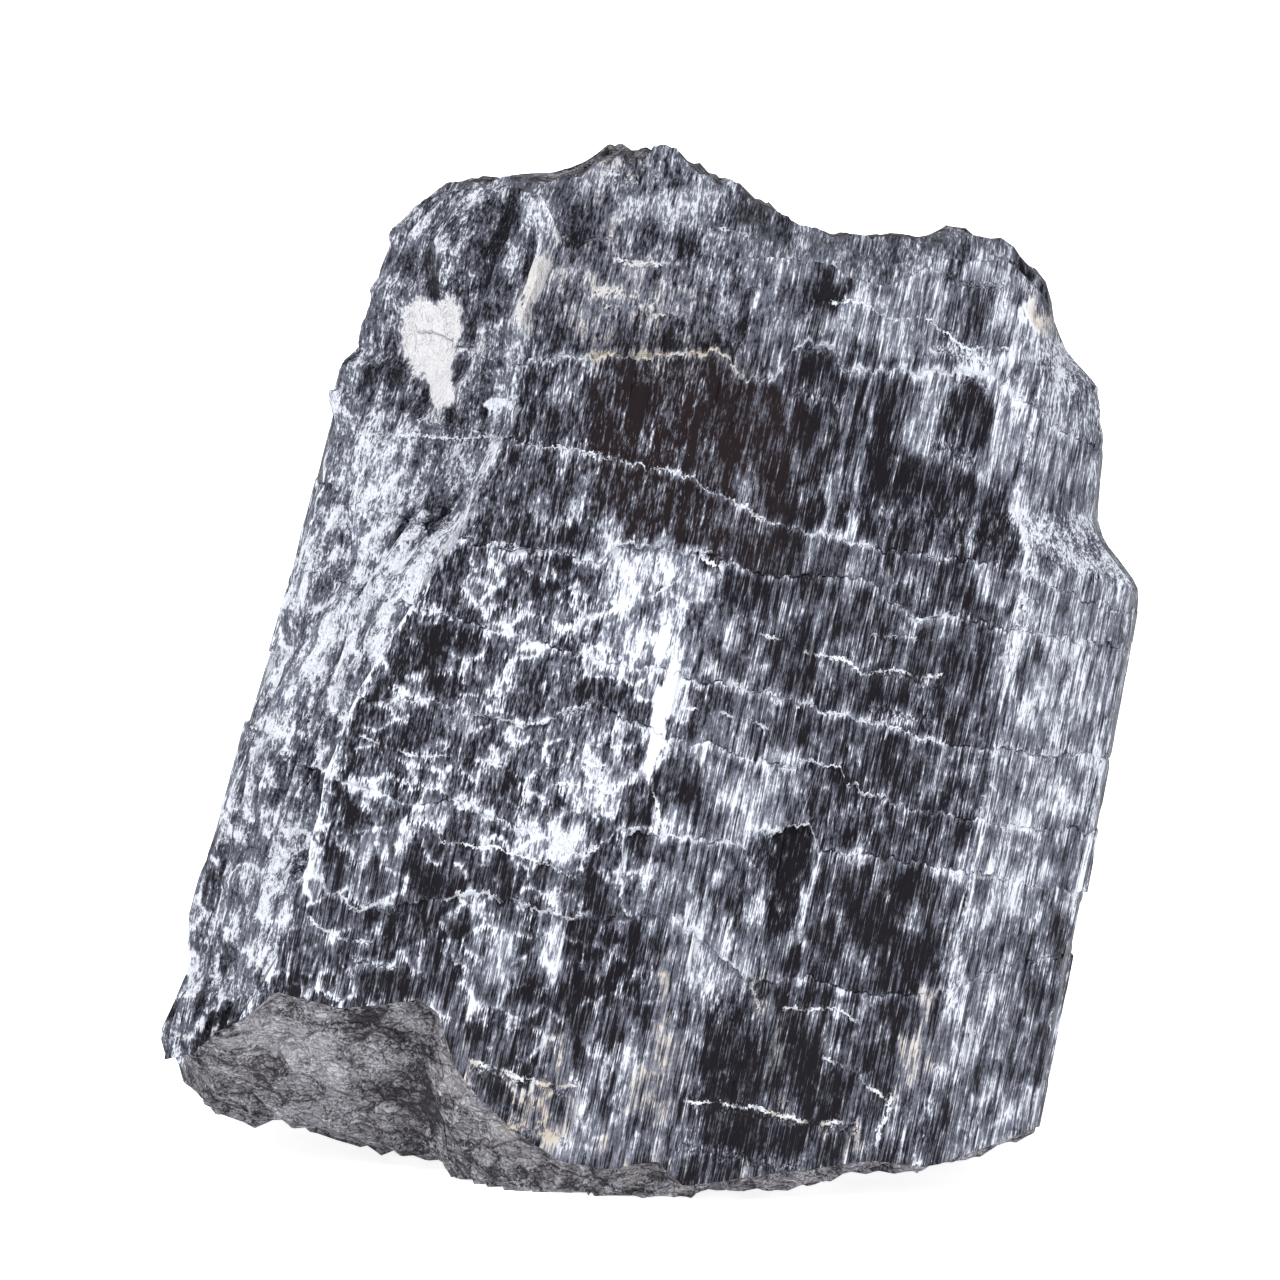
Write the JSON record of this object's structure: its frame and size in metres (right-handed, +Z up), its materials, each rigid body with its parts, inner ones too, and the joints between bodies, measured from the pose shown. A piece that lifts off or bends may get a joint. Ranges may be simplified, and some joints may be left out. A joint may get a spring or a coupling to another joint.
{
  "type": "black tourmaline crystal specimen",
  "caption": "Thick black tourmaline crystal stub with a furrowed prism face, cross cracks and rough breaks at both ends, standing on its lower break.",
  "frame": {"origin": "middle of the flat spot on the lower break that the crystal stands on", "axes": "+Z up, -Y out of the broad striated front face, +X to the right seen from the front"},
  "size_m": [0.0563, 0.0409, 0.0593],
  "materials": {
    "black_tourmaline": "vitreous near-black with fine upright striations, white dust in cracks and furrows, dull grey-brown where broken"
  },
  "bodies": {
    "root": {"tourmaline_crystal": "black_tourmaline"}
  },
  "joints": []
}
